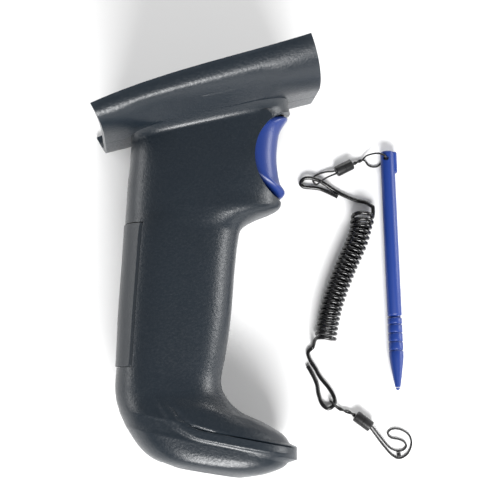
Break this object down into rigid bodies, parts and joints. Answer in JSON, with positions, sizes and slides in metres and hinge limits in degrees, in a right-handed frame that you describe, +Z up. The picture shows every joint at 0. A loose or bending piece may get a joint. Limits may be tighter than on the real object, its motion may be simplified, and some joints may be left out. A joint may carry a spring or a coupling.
{
  "type": "trigger handle for a handheld computer, with tethered stylus",
  "caption": "Pistol-grip trigger handle with an open cradle for a handheld computer, and a stylus on a coiled tether.",
  "frame": {"origin": "on the table, under the middle of the handle and stylus", "axes": "+Z up from the table, +Y from the handle's foot towards its cradle, +X from the handle towards the stylus"},
  "size_m": [0.1366, 0.1794, 0.0734],
  "materials": {
    "slate_plastic": "fine spark-eroded satin",
    "strap_plastic": "matt",
    "blue_plastic": "satin",
    "black_plastic": "satin",
    "cord_black": "glossy",
    "steel": "plain",
    "gilt": "gilt",
    "board": "lacquered"
  },
  "bodies": {
    "handle": {"right_shell": "slate_plastic", "left_shell": "slate_plastic", "shell_screw_neck": "steel", "shell_screw_nose": "steel", "shell_screw_grip": "steel", "shell_screw_foot": "steel", "back_strap": "strap_plastic", "sole_insert": "black_plastic", "lanyard_bar": "steel", "trigger_pin": "steel", "trigger_spring": "steel", "switch_board": "board", "switch_body": "black_plastic", "switch_lead": "cord_black", "cradle_plate": "black_plastic", "cradle_screw_rear": "steel", "cradle_screw_front": "steel", "contact_block": "black_plastic", "catch_cup": "black_plastic", "catch_spring": "steel"},
    "trigger": {"trigger": "blue_plastic"},
    "plunger": {"switch_plunger": "blue_plastic"},
    "catch": {"device_catch": "blue_plastic"},
    "contacts": {"contact_pin_1": "gilt", "contact_pin_2": "gilt", "contact_pin_3": "gilt", "contact_pin_4": "gilt"},
    "stylus_set": {"stylus_barrel": "blue_plastic", "stylus_nose": "blue_plastic", "stylus_nib": "blue_plastic", "string_at_stylus": "cord_black", "bead_upper": "black_plastic", "string_loop_upper": "cord_black", "cord_upper_eye": "cord_black", "cord_coil": "cord_black", "cord_lower_eye": "cord_black", "string_at_eye": "cord_black", "bead_lower": "black_plastic", "string_loop_lower": "cord_black", "loop_sleeve": "black_plastic"}
  },
  "joints": [
    {"name": "trigger_pull", "type": "hinge", "parent": "handle", "child": "trigger", "pos_m": [0.00439, 0.05688, 0.03433], "axis": [-0.033, 0.0964, -0.9948], "range_deg": [0, 7], "stiffness_Nm_per_rad": 0.08},
    {"name": "switch_press", "type": "slide", "parent": "handle", "child": "plunger", "axis": [-0.9995, 0, 0.0331], "range_m": [0, 0.002]},
    {"name": "catch_press", "type": "slide", "parent": "handle", "child": "catch", "axis": [0.2336, -0.967, -0.1014], "range_m": [0, 0.002], "stiffness_N_per_m": 300},
    {"name": "contact_press", "type": "slide", "parent": "handle", "child": "contacts", "axis": [0.2336, -0.967, -0.1014], "range_m": [0, 0.0009], "stiffness_N_per_m": 300},
    {"name": "stylus_lift", "type": "slide", "parent": "handle", "child": "stylus_set", "axis": [0, 0, 1], "range_m": [0, 0.08]}
  ],
  "couplings": [
    {"joint": "switch_press", "follows": "trigger_pull", "m_per_rad": 0.016}
  ]
}
